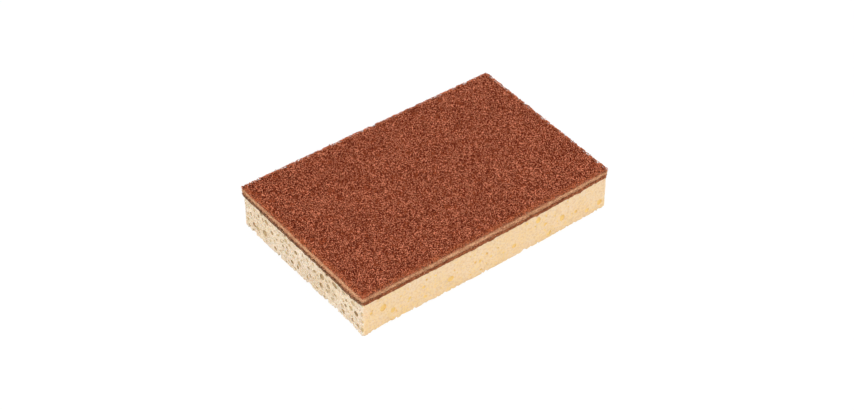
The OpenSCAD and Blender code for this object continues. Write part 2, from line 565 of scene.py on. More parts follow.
@dataclass(frozen=True)
class CelluloseFinish:
    """Dry cellulose foam: matt cream, with painted shade in its fine cells, painted highlights on the pore
    rims, and pores whose colour paints shade and light: greyish green shade on the cut ends, a yellow-orange
    glow of light through the walls on the long sides.
    """

    wall: Colour = srgb(255, 241, 222)
    # Painted shade in the fine cells between the walls
    cell: Colour = srgb(222, 188, 150)
    # Painted highlight on the rims of the pores
    rim: Colour = srgb(255, 247, 234)
    # Painted shade down in the pores of the cut ends, in two greyish greens
    olive_pore_shade: Colour = srgb(211, 185, 143)
    light_olive_pore_shade: Colour = srgb(228, 206, 171)
    smooth: Colour = srgb(245, 220, 192)
    stain: Colour = srgb(249, 215, 152)
    shade: Colour = srgb(234, 200, 158)
    # Painted glow down in the long sides' pores: light through their thin walls
    amber_pore_glow: Colour = srgb(247, 211, 138)
    yellowed: Colour = srgb(250, 228, 184)
    bleed: Triple = (1.0, 0.75, 0.5)

    def make(self) -> bpy.types.Material:
        """Build the material.

        Returns:
            The material.
        """
        finish = Finish("cellulose_foam")
        long_side_warm_light = finish.stored("long_side_warm_light")
        pore_shade_share = finish.stored("painted_pore_shade")
        foot = finish.stored("foot")
        blotch = finish.noise(6 * MM, 3, 0.6)
        fleck = finish.noise(1.3 * MM, 3, 0.65)
        grain = finish.spread(finish.noise(0.6 * MM, 1, 0.5), 0.32, 0.68)
        # Fine cells painted darker than their walls as painted shade, mixed with random grain; the same
        # pattern dents the bump
        coarse = finish.spread(finish.cells(2.1 * MM), 0.03, 0.3)
        fine = finish.spread(finish.cells(0.95 * MM), 0.04, 0.35)
        cell_hollows_and_shade = (coarse * 0.25 + fine * 0.6) * finish.spread(blotch, 0.2, 0.6) + grain * 0.45
        aged = finish.spread(finish.noise(16 * MM, 2), 0.4, 0.65) * 0.4
        cut_end = finish.mixed(cell_hollows_and_shade, finish.mixed(aged, self.wall, self.yellowed), self.cell)
        stained = finish.spread(blotch * 0.4 + fleck * 0.5 + grain * 0.2 + foot * 0.1, 0.42, 0.82)
        mottle = finish.spread(finish.noise(1.1 * MM, 3, 0.7), 0.46, 0.62) * 0.9
        long_side = finish.mixed(mottle, finish.mixed(stained, self.smooth, self.stain), self.shade)
        # Long sides take their own colours: partly their smoother skin, partly painted light, brighter and
        # yellower where the key light falls
        skin = finish.mixed(long_side_warm_light, cut_end, long_side)
        kind = finish.spread(finish.noise(2.6 * MM, 1), 0.35, 0.65)
        # Painted shade and light down in the pores: greyish green shade on the cut ends, a glow of light
        # through the walls on the long sides
        depth = finish.mixed(long_side_warm_light, finish.mixed(kind, self.olive_pore_shade, self.light_olive_pore_shade), self.amber_pore_glow)
        # Painted highlight just inside the pore rims, weaker on the long sides
        rim_highlight = finish.spread(pore_shade_share, 0.0, 0.04) * (0.85 - long_side_warm_light * 0.5)
        rim_highlighted = finish.mixed(rim_highlight, skin, self.rim)
        dimple = (1.0 - cell_hollows_and_shade) * (1.0 - long_side_warm_light * 0.8)
        finish.feed(
            Base_Color=finish.mixed(finish.spread(pore_shade_share, 0.04, 0.4), rim_highlighted, depth),
            Roughness=0.95,
            Subsurface_Weight=0.2,
            Subsurface_Scale=0.8 * MM,
            Subsurface_Radius=self.bleed,
            Specular_IOR_Level=0.15,
            Normal=finish.bumped(dimple + fleck * 0.3, 0.4 * MM, 0.7),
        )
        return finish.material


@dataclass(frozen=True)
class GlueFinish:
    """Set adhesive, soaked into the web: matt and patchy; one adhesive painted twice, grey brown as in shade
    on the ends and red brown as in light on the long sides.
    """

    # The same adhesive in painted shade on the ends and in painted light on the sides
    shaded_end_dark: Colour = srgb(92, 60, 40)
    shaded_end_light: Colour = srgb(158, 116, 84)
    lit_side_dark: Colour = srgb(120, 62, 34)
    lit_side_light: Colour = srgb(178, 108, 70)

    def make(self) -> bpy.types.Material:
        """Build the material.

        Returns:
            The material.
        """
        finish = Finish("set_adhesive")
        patch = finish.spread(finish.noise(1.3 * MM, 3, 0.7), 0.4, 0.65)
        end = finish.mixed(patch, self.shaded_end_dark, self.shaded_end_light)
        side = finish.mixed(patch, self.lit_side_dark, self.lit_side_light)
        finish.feed(
            Base_Color=finish.mixed(finish.stored("long_side_warm_light"), end, side),
            Roughness=0.85,
            Specular_IOR_Level=0.15,
            Normal=finish.bumped(finish.noise(0.5 * MM, 2), 0.15 * MM, 0.7),
        )
        return finish.material


@dataclass(frozen=True)
class MatFinish:
    """The dense inside of the web: painted brown shadow on its top between the fibres, lighter on the cut
    edge.
    """

    deep_shade: Colour = srgb(84, 26, 10)
    brown: Colour = srgb(182, 92, 58)
    cut_shade: Colour = srgb(190, 122, 86)
    cut: Colour = srgb(244, 192, 152)

    def make(self) -> bpy.types.Material:
        """Build the material.

        Returns:
            The material.
        """
        finish = Finish("web_inside_gap_shade")
        strand = finish.noise(0.55 * MM, 2, 0.6)
        # The top is painted shade: dark brown where the gaps between fibres lie
        top = finish.mixed(finish.spread(strand, 0.42, 0.62), self.deep_shade, self.brown)
        layered = finish.spread(strand * 0.4 + finish.streaks() * 0.6, 0.4, 0.6)
        side = finish.mixed(layered, self.cut_shade, self.cut)
        finish.feed(
            Base_Color=finish.mixed(finish.stored("edge"), top, side),
            Roughness=0.9,
            Specular_IOR_Level=0.1,
            Normal=finish.bumped(strand, 0.3 * MM, 0.8),
        )
        return finish.material


@dataclass(frozen=True)
class FibreFinish:
    """Crimped fibres in a brown coat of resin: each has its own tone, painted darker as shade where it lies
    low in the web, and the cut ends are tan.
    """

    dark: Colour = srgb(90, 16, 0)
    brown: Colour = srgb(158, 64, 34)
    light: Colour = srgb(242, 154, 118)
    rim: Colour = srgb(212, 118, 72)
    cut: Colour = srgb(252, 214, 168)
    cut_dark: Colour = srgb(168, 102, 64)
    gloss: Colour = srgb(255, 200, 170)

    def make(self) -> bpy.types.Material:
        """Build the material.

        Returns:
            The material.
        """
        finish = Finish("coated_fibre")
        speck = finish.spread(finish.noise(0.5 * MM, 1, 0.5), 0.34, 0.66)
        tone = finish.stored("tone")
        grain = tone * 0.6 + speck * 2.0 - 0.8
        stops = [(0.0, self.dark), (0.5, self.brown), (1.0, self.light)]
        coat = finish.node("ShaderNodeValToRGB", {"stops": stops}, {0: grain}, "Color")
        coat = finish.mixed(finish.stored("rim") * 0.6, coat, self.rim)
        layers = finish.spread(finish.streaks(), 0.36, 0.64)
        end = finish.mixed(tone * 0.6 + speck * 0.4 + layers * 0.7 - 0.32, self.cut_dark, self.cut)
        grit = finish.noise(0.35 * MM, 2, 0.6)
        finish.feed(
            Base_Color=finish.mixed(finish.stored("edge"), coat, end),
            Roughness=0.65 + grit * 0.3,
            Specular_IOR_Level=0.15,
            Specular_Tint=self.gloss,
        )
        return finish.material


@dataclass
class SpongeBlock:
    """The cellulose block, whose faces are cut open by pores of many sizes."""

    plan: Plan
    low: float
    high: float
    cell: float = 2.6 * MM
    corner: float = 1.4 * MM
    crease: float = 38.0
    seed: int = 7

    # Count and radii in millimetres of the pores of each kind of face, in rounds from coarse to fine
    end_pores: tuple[Numbered, ...] = (
        (190, 0.8, 1.5), (230, 0.65, 1.2), (600, 0.42, 0.75), (560, 0.24, 0.42),
    )
    side_pores: tuple[Numbered, ...] = ((8, 0.75, 1.1), (14, 0.6, 0.9), (46, 0.4, 0.65), (200, 0.2, 0.4))
    base_pores: tuple[Numbered, ...] = ((80, 0.8, 1.7), (70, 0.6, 1.1), (110, 0.45, 0.75), (100, 0.26, 0.42))

    # Subdivisions of each round's bubbles, the round that has the nibbles, and how many rounds are coarse
    fineness: tuple[int, ...] = (3, 2, 2, 2, 1)
    nibble_round: int = 3
    coarse_rounds: int = 2

    # Squeeze of the pores toward the blade, and how much small pores outnumber large ones
    end_flatness: float = 0.7
    side_flatness: float = 0.34
    skewness: float = 1.4

    # Least distance in radii of pores of one round, and of any from those that stand out
    gap_share: float = 1.18
    clear_share: float = 0.92

    # Lengths of a bubble's axes, and the height, wavelength and places of its dents
    stretch: Range = (0.74, 1.12)
    dent: float = 0.075
    dent_length: float = 2.2
    dent_places: Range = (-50, 50)

    # Where scattered pores open along and up a side, and their depth in radii
    along_span: Range = (0.004, 0.996)
    up_span: Range = (-0.01, 0.97)
    scattered_sunk: Range = (-0.3, 0.35)

    # Depth in radii of the pores that stand out
    end_sunk: Range = (0.1, 0.4)
    side_sunk: Range = (0.0, 0.12)

    # How far a middle lies below the place where it shows from above, in shares of its depth
    sight: float = 0.5

    # Pores that nibble the lower and the upright edges
    nibble_pitch: float = 2.6 * MM
    nibbles: Range = (0.4 * MM, 1.0 * MM)
    nibble_flatness: float = 0.9
    foot_up: Range = (-0.035, 0.01)
    foot_sunk: Range = (-0.4, 0.5)
    corner_height: float = 0.9
    corner_along: Range = (-0.004, 0.004)
    corner_sunk: Range = (-0.2, 0.2)

    # Seed, wavelength and height of the waves in the walls, their reach, and their share at the rims
    sway: tuple[Numbered, ...] = ((31, 19 * MM, 0.16 * MM), (32, 6 * MM, 0.05 * MM))
    sway_reach: float = 6 * MM
    rim_sway: float = 0.35
    rim_reach: float = 2 * MM

    # The ragged foot: its waves, their gain and start, how far in and up it reaches, and its greatest lift
    ragged: tuple[Numbered, ...] = ((33, 5 * MM, 0.6), (34, 2.2 * MM, 1.0))
    ragged_gain: float = 0.6
    ragged_from: float = 0.1
    fringe: float = 2.4 * MM
    fringe_height: float = 1.8 * MM
    lift: float = 1.1 * MM

    # Reach of the seam's rise, flare of the near left foot and wear of the far left corner
    seam_reach: float = 5 * MM
    flare: float = 0.9 * MM
    flare_reach: float = 9 * MM
    wear: float = 0.5 * MM
    wear_reach: float = 8 * MM

    # Depth at which the painted shade in a pore is darkest, reach of the walls' colour under the block, and
    # the base's share of the long sides' colours and painted light
    pore_shade_depth: float = 1.0 * MM
    wall_reach: float = 4 * MM
    base_warm_light: float = 0.4

    # Share of the way along, share of the way up and radius in millimetres of the pores that stand out
    left_marks: tuple[Triple, ...] = (
        (0.07, 0.62, 1.1), (0.1, 0.36, 1.4), (0.14, 0.8, 1.2), (0.19, 0.4, 1.8), (0.21, 0.84, 1.5),
        (0.25, 0.63, 1.4), (0.28, 0.2, 1.2), (0.35, 0.55, 1.1), (0.42, 0.28, 1.4), (0.455, 0.73, 1.3),
        (0.48, 0.44, 1.4), (0.56, 0.6, 1.1), (0.61, 0.68, 1.3), (0.665, 0.42, 1.5), (0.67, 0.76, 2.1),
        (0.72, 0.6, 1.5), (0.775, 0.86, 1.9), (0.8, 0.66, 1.5), (0.86, 0.5, 1.2), (0.945, 0.58, 2.0),
        (0.96, 0.22, 1.1),
    )
    near_marks: tuple[Triple, ...] = (
        (0.078, 0.62, 1.9), (0.115, 0.36, 1.4), (0.18, 0.46, 1.0), (0.235, 0.6, 1.0), (0.24, 0.24, 0.9),
        (0.34, 0.42, 1.8), (0.46, 0.48, 1.1), (0.6, 0.38, 1.3), (0.7, 0.83, 1.5), (0.73, 0.56, 1.1),
        (0.75, 0.17, 1.5), (0.805, 0.45, 2.0), (0.865, 0.4, 1.1), (0.915, 0.22, 1.2), (0.97, 0.27, 1.6),
    )

    def build(self) -> Piece:
        """Cut, open and dress the block.

        Returns:
            The piece.
        """
        piece = Bench.block("sponge_foam", self.plan.half, self.low, self.high, self.cell, self.corner)
        self._refine_foot(piece)
        for number, (batch, fineness) in enumerate(zip(self._batches(), self.fineness, strict=True)):
            Bench.cut_away(piece, self._cutter(f"pores_{number}", batch, fineness, self.seed + number))
            LOG.info("pores %d: %d cut, %d faces", number, len(batch), len(piece.data.polygons))
        self._drop_hidden(piece)
        self._shape(piece)
        return Bench.dress(piece, self.crease, CelluloseFinish().make())

    @staticmethod
    def _drop_hidden(piece: Piece) -> None:
        """Delete bubbles that open on no face, and whatever else hangs loose from the block.

        Args:
            piece: The block.
        """
        outermost = int(Bench.places(piece).sum(1).argmax())
        with Bench.editing(piece, "VERT", [outermost]):
            bpy.ops.mesh.select_linked()
            bpy.ops.mesh.select_all(action="INVERT")
            bpy.ops.mesh.delete(type="VERT")

    def _refine_foot(self, piece: Piece) -> None:
        """Subdivide the lower outline, whose raggedness needs short edges.

        Args:
            piece: The block.
        """
        places = Bench.places(piece)
        near = 0.01 * MM
        rim = (places[:, 2] < self.low + near) & (self.plan.gaps(places).min(1) < near)
        foot = [edge.index for edge in piece.data.edges if rim[list(edge.vertices)].all()]
        with Bench.editing(piece, "EDGE", foot):
            bpy.ops.mesh.subdivide(number_cuts=2)

    def _spot(self, face: Face, along: Array, up: Array, depth: Array) -> Array:
        """Find places in the plain block from places on one of its faces.

        Args:
            face: The face.
            along: Share of the way along the face.
            up: Share of the way up it, or across it on the base.
            depth: Depth below the face.

        Returns:
            One row for each place.
        """
        axis, side, way = face.value
        half = self.plan.half
        if face is Face.BASE:
            return np.stack([half[0] * (2 * along - 1), half[1] * (2 * up - 1), self.low + depth], 1)
        height = self.low + (self.high - self.low) * up
        level = [side * (half[axis] - depth), half[1 - axis] * way * (2 * along - 1)]
        return np.stack([level[axis], level[1 - axis], height], 1)

    def _flat(self, face: Face, coarse: bool) -> Array:
        """Return how far the pores of a face are squeezed along each axis, in a coarse round or not."""
        flat = (self.end_flatness if coarse else 1.0, self.side_flatness, self.end_flatness)
        return np.where(np.arange(3) == face.value[0], flat, 1.0)

    @staticmethod
    def _rows(spots: Array, radius: Array, flat: Array) -> Array:
        """Return one row for each pore, with its centre, its radius and its squeeze."""
        return np.column_stack([spots, radius, np.tile(flat, (len(radius), 1))])

    def _batches(self) -> list[Array]:
        """Scatter the pores in rounds, in each of which no two touch.

        Returns:
            For each round the centre, the radius and the squeeze of each pore.
        """
        dice = np.random.default_rng(self.seed)
        mirrored = tuple((1 - along, up, radius) for along, up, radius in self.left_marks)
        marks = (self.left_marks, mirrored, self.near_marks, self.near_marks)
        kinds = (self.end_pores, self.end_pores, self.side_pores, self.side_pores, self.base_pores)
        found: list[list[Array]] = [[] for _ in self.fineness]
        for face, places in zip(Face, marks):
            along, up, radius = np.array(places).T
            radius = radius * MM
            flat = self._flat(face, False)
            up = up - self.sight * radius * flat.min() / (self.high - self.low)
            sunk = (self.end_sunk, self.side_sunk)[face.value[0]]
            spots = self._spot(face, along, up, radius * dice.uniform(*sunk, len(radius)))
            found[0].append(self._rows(spots, radius, flat))
        for face, sizes in zip(Face, kinds, strict=True):
            for number, (count, smallest, largest) in enumerate(sizes):
                share = dice.uniform(0, 1, count) ** self.skewness
                radius = (smallest + (largest - smallest) * share) * MM
                along = dice.uniform(*self.along_span, count)
                up = dice.uniform(*((0.0, 1.0) if face is Face.BASE else self.up_span), count)
                flat = self._flat(face, number < self.coarse_rounds)
                depth = radius * dice.uniform(*self.scattered_sunk, count)
                depth *= min(1, flat.min() / self.end_flatness)
                found[number + 1].append(self._rows(self._spot(face, along, up, depth), radius, flat))
        found[self.nibble_round].insert(0, self._nibbles(dice))
        large = np.concatenate(found[0])
        rounds = [self._clear(np.concatenate(batch), large) for batch in found[1:]]
        return [self._apart(batch) for batch in (large, *rounds)]

    def _clear(self, pores: Array, large: Array) -> Array:
        """Return the rows of pores that don't cut into the large ones, which stand out."""
        away = np.linalg.norm(pores[:, None, :3] - large[None, :, :3], axis=-1)
        return pores[(away > self.clear_share * (pores[:, None, 3] + large[None, :, 3])).all(1)]

    def _nibbles(self, dice: np.random.Generator) -> Array:
        """Place the pores that the lower and the upright edges cut through.

        Args:
            dice: The block's random numbers.

        Returns:
            The centre, the radius and the squeeze of each.
        """
        rows = []
        flat = np.full(3, self.nibble_flatness)
        for face in (Face.LEFT, Face.RIGHT, Face.NEAR, Face.FAR):
            count = int(2 * self.plan.half[1 - face.value[0]] / self.nibble_pitch)
            along = self._spaced(dice, count)
            radius = dice.uniform(*self.nibbles, count)
            up = dice.uniform(*self.foot_up, count)
            spots = self._spot(face, along, up, radius * dice.uniform(*self.foot_sunk, count))
            rows.append(self._rows(spots, radius, flat))
            count = int((self.high - self.low) / self.nibble_pitch)
            radius = dice.uniform(*self.nibbles, count)
            up = self._spaced(dice, count) * self.corner_height
            along = dice.uniform(*self.corner_along, count)
            spots = self._spot(face, along, up, radius * dice.uniform(*self.corner_sunk, count))
            rows.append(self._rows(spots, radius, flat))
        return np.concatenate(rows)

    @staticmethod
    def _spaced(dice: np.random.Generator, count: int) -> Array:
        """Return shares of a way, one at random in each of so many equal parts."""
        return (np.arange(count) + dice.uniform(0.1, 0.9, count)) / count

    def _apart(self, pores: Array) -> Array:
        """Drop each pore that would touch an earlier one of its round.

        Args:
            pores: Centre, radius and squeeze of each pore.

        Returns:
            The rows that are kept.
        """
        kept: list[Array] = []
        grid: dict[tuple[int, ...], list[int]] = {}
        reach = 2 * self.gap_share * float(pores[:, 3].max())
        for pore in pores:
            key = np.floor(pore[:3] / reach).astype(int)
            near = [k for step in product((-1, 0, 1), repeat=3) for k in grid.get(tuple(key + step), ())]
            gaps = [np.linalg.norm(kept[k][:3] - pore[:3]) / (kept[k][3] + pore[3]) for k in near]
            if min(gaps, default=math.inf) > self.gap_share:
                grid.setdefault(tuple(key), []).append(len(kept))
                kept.append(pore)
        return np.array(kept)

    def _cutter(self, name: str, pores: Array, fineness: int, seed: int) -> Piece:
        """Model one bubble and stamp a squeezed, turned and dented copy of it at each pore.

        Args:
            name: Name of the cutter.
            pores: Centre, radius and squeeze of each pore.
            fineness: Subdivisions of the bubble.
            seed: Seed of the squeezing and denting.

        Returns:
            One object that holds all the bubbles.
        """
        Bench.clear()
        bpy.ops.mesh.primitive_ico_sphere_add(subdivisions=fineness, radius=1)
        pattern = bpy.context.active_object
        ball = Bench.places(pattern)
        faces = np.array([list(p.vertices) for p in pattern.data.polygons])
        bpy.data.objects.remove(pattern)
        dice = np.random.default_rng(seed)
        count = len(pores)
        w, x, y, z = unit(dice.normal(size=(count, 4))).T
        spin = np.array([
            [1 - 2 * (y * y + z * z), 2 * (x * y - z * w), 2 * (x * z + y * w)],
            [2 * (x * y + z * w), 1 - 2 * (x * x + z * z), 2 * (y * z - x * w)],
            [2 * (x * z - y * w), 2 * (y * z + x * w), 1 - 2 * (x * x + y * y)],
        ]).transpose(2, 0, 1)
        local = ball[None] * dice.uniform(*self.stretch, (count, 3))[:, None]
        shift = dice.uniform(*self.dent_places, (count, 1, 3))
        dents = Wave(seed, self.dent_length).at((local + shift).reshape(-1, 3)).reshape(count, -1, 1)
        turned = np.einsum("nij,nvj->nvi", spin, local * (1 + self.dent * dents)) * pores[:, None, 4:]
        points = turned * pores[:, None, 3:4] + pores[:, None, :3]
        stamped = faces[None] + (np.arange(count) * len(ball))[:, None, None]
        return Bench.mesh(name, points.reshape(-1, 3), stamped.reshape(-1, 3))

    def _shape(self, piece: Piece) -> None:
        """Measure how deep each vertex lies, then bend the block into its true, slightly wavy outline.

        Args:
            piece: The block.
        """
        points = Bench.places(piece)
        gaps = self.plan.gaps(points)
        nearest = gaps.min(1)
        above, below = points[:, 2] - self.low, self.high - points[:, 2]
        level = np.minimum(above, below)
        short = np.clip(self.corner - gaps, 0, None)
        walls = np.where((short > 0).all(1), self.corner - np.linalg.norm(short, axis=1), nearest)
        depth = np.clip(np.minimum(walls, level), 0, None)
        lean = self.plan.lean(gaps)
        close = fade(nearest - self.plan.corner_blend, self.wall_reach)
        # Pores are painted darker the further a point lies below the face: painted shade, reaching full
        # darkness sooner on the long sides
        full = self.pore_shade_depth * (1 - (1 - self.side_flatness) * lean * close)
        Bench.mark(piece, "foot", fade(above, self.high - self.low))
        # Mark of the long sides, partly their own skin and partly painted light; the base takes a share of
        # it
        Bench.mark(piece, "long_side_warm_light", lean * close + self.base_warm_light * (1 - close))
        Bench.mark(piece, "painted_pore_shade", np.clip(depth / full, 0, 1))
        out = self.plan.warp(points)
        free = self.rim_sway + (1 - self.rim_sway) * np.clip(level / self.rim_reach, 0, 1)
        out[:, :2] += outward(points, gaps, self.sway_reach) * (ripple(points, self.sway) * free)[:, None]
        ragged = np.clip(self.ragged_gain * ripple(points, self.ragged) - self.ragged_from, 0, 1)
        out[:, 2] += fade(nearest, self.fringe) * fade(above, self.fringe_height) * ragged * self.lift
        from_left = points[:, 0] + self.plan.half[0] + self.plan.half[1]
        worn = fade(from_left - points[:, 1], self.wear_reach) * self.wear
        out[:, :2] += worn[:, None] * np.array([1.0, -1.0])
        flared = fade(from_left + points[:, 1], self.flare_reach)
        out[:, :2] -= (flared * fade(above, self.flare_reach) * self.flare)[:, None]
        out[:, 2] += Seam(self.plan).rise(points) * fade(below, self.seam_reach)
        Bench.move(piece, out)


@dataclass
class GlueLine:
    """The ragged dark line of adhesive between sponge and pad."""

    plan: Plan
    low: float
    high: float
    cell: float = 0.9 * MM
    corner: float = 1.4 * MM
    crease: float = 50.0

    # How far the line bulges past the pad, how much that frays, and how far in both reach
    bulge: float = 0.22 * MM
    fray: float = 0.12 * MM
    frayed: tuple[Numbered, ...] = ((43, 1.4 * MM, 1.0),)
    edge: float = 1.2 * MM

    # How far it soaks up and down, its waves, drawn out upright, and how they change it
    soak: float = 0.38 * MM
    soak_up: Range = (1.0, 0.75)
    soak_down: Range = (-0.3, 0.6)
    soak_least: float = -0.05
    fringe: float = 2 * MM
    ragged: tuple[Numbered, ...] = ((41, 9 * MM, 1.0), (42, 2.6 * MM, 0.8), (44, 1.2 * MM, 0.7))
    upright: float = 0.4

    def build(self) -> Piece:
        """Model and dress the line.

        Returns:
            The piece.
        """
        piece = Bench.block("glue_line", self.plan.half, self.low, self.high, self.cell, self.corner)
        points = Bench.places(piece)
        gaps = self.plan.gaps(points)
        rim = fade(gaps.min(1), self.fringe)
        out = self.plan.warp(points)
        push = (self.bulge + self.fray * ripple(points, self.frayed)) * rim
        out[:, :2] += outward(points, gaps, self.edge) * push[:, None]
        ragged = ripple(points * (1, 1, self.upright), self.ragged)
        upper = points[:, 2] > (self.low + self.high) / 2
        raised, lowered = (mean + gain * ragged for mean, gain in (self.soak_up, self.soak_down))
        soaked = np.where(upper, raised, np.minimum(lowered, self.soak_least))
        out[:, 2] += rim * self.soak * soaked
        out[:, 2] += Seam(self.plan).rise(points)
        # Long sides get the adhesive's painted light, the ends its painted shade
        Bench.mark(piece, "long_side_warm_light", self.plan.lean(gaps))
        Bench.move(piece, out)
        return Bench.dress(piece, self.crease, GlueFinish().make())


@dataclass
class Web:
    """The non-woven scouring pad: a dense mat under loose crimped fibres, with frayed cut edges; the mat's
    top and the lower fibres are painted darker as shade.
    """

    plan: Plan
    low: float
    high: float

    # Radius of the rolled edge, swell of the top, and room for loose fibres above and past the body
    roll: float = 0.85 * MM
    top_bow: float = 0.1 * MM
    loose: float = 0.08 * MM
    trim: float = 0.06 * MM

    # Start and height of the band that turns tan down the cut side, and the glue-stained foot below it
    band_top: float = 0.9 * MM
    band: float = 1.1 * MM
    stain: float = 1.7 * MM
    stain_strength: float = 1.15

    # The mat: its cells, its place inside and below the fibres, and its lumps and frays in millimetres
    mat_cell: float = 1.3 * MM
    mat_crease: float = 60.0
    inset: float = 0.15 * MM
    sunk: float = 0.35 * MM
    lumps: tuple[Numbered, ...] = ((51, 4.5 * MM, 0.05), (52, 1.7 * MM, 0.06))
    frays: tuple[Numbered, ...] = ((53, 1.3 * MM, 0.16),)
    fray_reach: float = 1.5 * MM
    mat_stained: float = 0.8

    # Course of a fibre: its steps, its turn at each, and how much of a turn carries on to the next
    step: float = 0.46 * MM
    steps: int = 13
    wander: float = 0.32
    carry: float = 0.8
    hang: float = 2.2 * MM
    spare: float = 0.2

    # Crimp of a fibre: its angle at first and at each step, its height and the clumps' in millimetres
    crimp_start: Range = (0, 6.3)
    crimp_pitch: Range = (0.6, 1.3)
    crimp: float = 0.1
    clump: float = 0.03
    uneven: float = 0.04 * MM

    # Radius of a fibre, how much it varies and how thin its tips are
    thick: Range = (0.13 * MM, 0.2 * MM)
    lumpy: float = 0.2
    tip: float = 0.6

    # Seed, size and waves of clumps and clouds, and what they, the crimp and the rim add to the tone; the
    # clumps' and the crimp's shares are painted shade, lighter where a fibre rises and darker where it sinks
    clumps: tuple[int, float, int] = (72, 1.0 * MM, 40)
    clouds: tuple[int, float, int] = (71, 22 * MM, 14)
    tints_and_shade: tuple[float, ...] = (0.05, 0.12, 0.05, 0.25)
    rim: float = 2.4 * MM

    # Spread of the tone from fibre to fibre and along each
    own_tone: float = 0.04
    step_tone: float = 0.48

    # Cut ends: their radius, root, lean and bend, and the shape, scale and limits of their reach
    end_thick: Range = (0.11 * MM, 0.2 * MM)
    end_root: float = -0.3 * MM
    end_lean: float = 0.42
    end_bend: float = 0.25
    end_reach: Range = (3.0, 0.12)
    end_limits: Range = (0.15, 0.75)
    end_least: float = 0.2 * MM
    end_floor: float = 0.05 * MM

    # Where cut ends start down the edge and end past the corners, and their elbow, tip and taper
    end_start: float = 0.3
    end_span: float = 1.02
    elbow: float = 0.55
    end_tip: float = 0.5
    end_taper: Triple = (1.0, 1.0, 0.75)

    # Tone of cut ends on the long and short sides, what the tan band and the stain change, and its spread
    end_tones: Range = (0.45, 0.65)
    end_tan: float = 0.35
    end_stained: Range = (0.4, 0.7)
    end_tone: float = 0.32

    def cut_share(self, points: Array) -> Array:
        """Return how far points lie in the tan band of the cut side, from 0, on top, to 1."""
        down = self.high - points[..., 2]
        return np.clip((down - self.band_top) / self.band, 0, 1)

    def near_glue(self, points: Array) -> Array:
        """Return how far points lie in the glue-stained foot of the web, from 0 to 1."""
        return np.clip(self.stain_strength * (1 - (points[..., 2] - self.low) / self.stain), 0, 1)

    @property
    def half(self) -> Array:
        """Half the length and width of the body of the web, inside its frayed ends."""
        return self.plan.half - self.trim

    def bend(self, along: Array, across: Array, rise: Array) -> tuple[Array, Array]:
        """Lay flat places over the pad: past the rolled edge they go down the cut side.

        Args:
            along: Distance from the middle along the pad, measured over its surface.
            across: Distance from the middle across it.
            rise: Height above the surface.

        Returns:
            The points, and the way out of the surface at each.
        """
        start = self.half - self.roll
        flat = np.stack([along, across], -1)
        past = np.maximum(np.abs(flat) - start, 0)
        reach = (past**4).sum(-1) ** 0.25
        way = past / np.maximum(reach, TINY)[..., None] * np.sign(flat)
        quarter = self.roll * math.pi / 2
        angle = np.minimum(reach, quarter) / self.roll
        down = np.maximum(reach - quarter, 0)
        out = (self.roll + rise) * np.sin(angle)
        plan = np.clip(flat, -start, start) + way * out[..., None]
        height = self.high - self.loose - self.roll * (1 - np.cos(angle)) + rise * np.cos(angle) - down
        points = np.concatenate([plan, height[..., None]], -1)
        normal = np.concatenate([way * np.sin(angle)[..., None], np.cos(angle)[..., None]], -1)
        return points, normal

    def settle(self, points: Array) -> Array:
        """Bend points into the true outline, whose swell grows from the top of the pad to its foot.

        Args:
            points: Points of the plain pad.

        Returns:
            The moved points.
        """
        share = np.clip((self.high - points[:, 2]) / (self.high - self.low), 0, 1)
        out = self.plan.warp(points, self.top_bow + (self.plan.bow - self.top_bow) * share)
        out[:, 2] += Seam(self.plan).rise(points) * share**2
        return out

    def mat(self) -> Piece:
        """Model the dense mat that shows between the fibres, whose top is painted dark as the shade in the
        gaps.

        Returns:
            The piece.
        """
        half = self.half - self.inset
        top = self.high - self.loose - self.sunk
        piece = Bench.block("web_mat", half, self.low, top, self.mat_cell)
        points = Bench.places(piece)
        gaps = half - np.abs(points[:, :2])
        near = fade(gaps.min(1), self.roll)
        share = np.clip((points[:, 2] - self.low) / (top - self.low), 0, 1)
        out = points.copy()
        out[:, 2] -= self.roll * (1 - np.sqrt(np.clip(1 - near**2, 0, 1))) * share
        out[:, 2] += share * ripple(points, self.lumps) * MM
        out[:, :2] += outward(points, gaps, self.fray_reach) * (ripple(points, self.frays) * MM)[:, None]
        Bench.move(piece, self.settle(out))
        Bench.mark(piece, "edge", self.cut_share(out) * (1 - self.mat_stained * self.near_glue(out)))
        return Bench.dress(piece, self.mat_crease, MatFinish().make())

    @staticmethod
    def _scatter(dice: np.random.Generator, count: int, span: Array) -> Array:
        """Spread places evenly over a rectangle, one at random in each cell of a grid.

        Args:
            dice: Random numbers.
            count: About how many places.
            span: Half the length and width of the rectangle.

        Returns:
            One row for each place.
        """
        pitch = math.sqrt(4 * span[0] * span[1] / count)
        across, up = (max(1, round(2 * side / pitch)) for side in span)
        corners = np.stack(np.meshgrid(np.arange(across), np.arange(up), indexing="ij"), -1).reshape(-1, 2)
        return ((corners + dice.uniform(0, 1, corners.shape)) / (across, up) * 2 - 1) * span

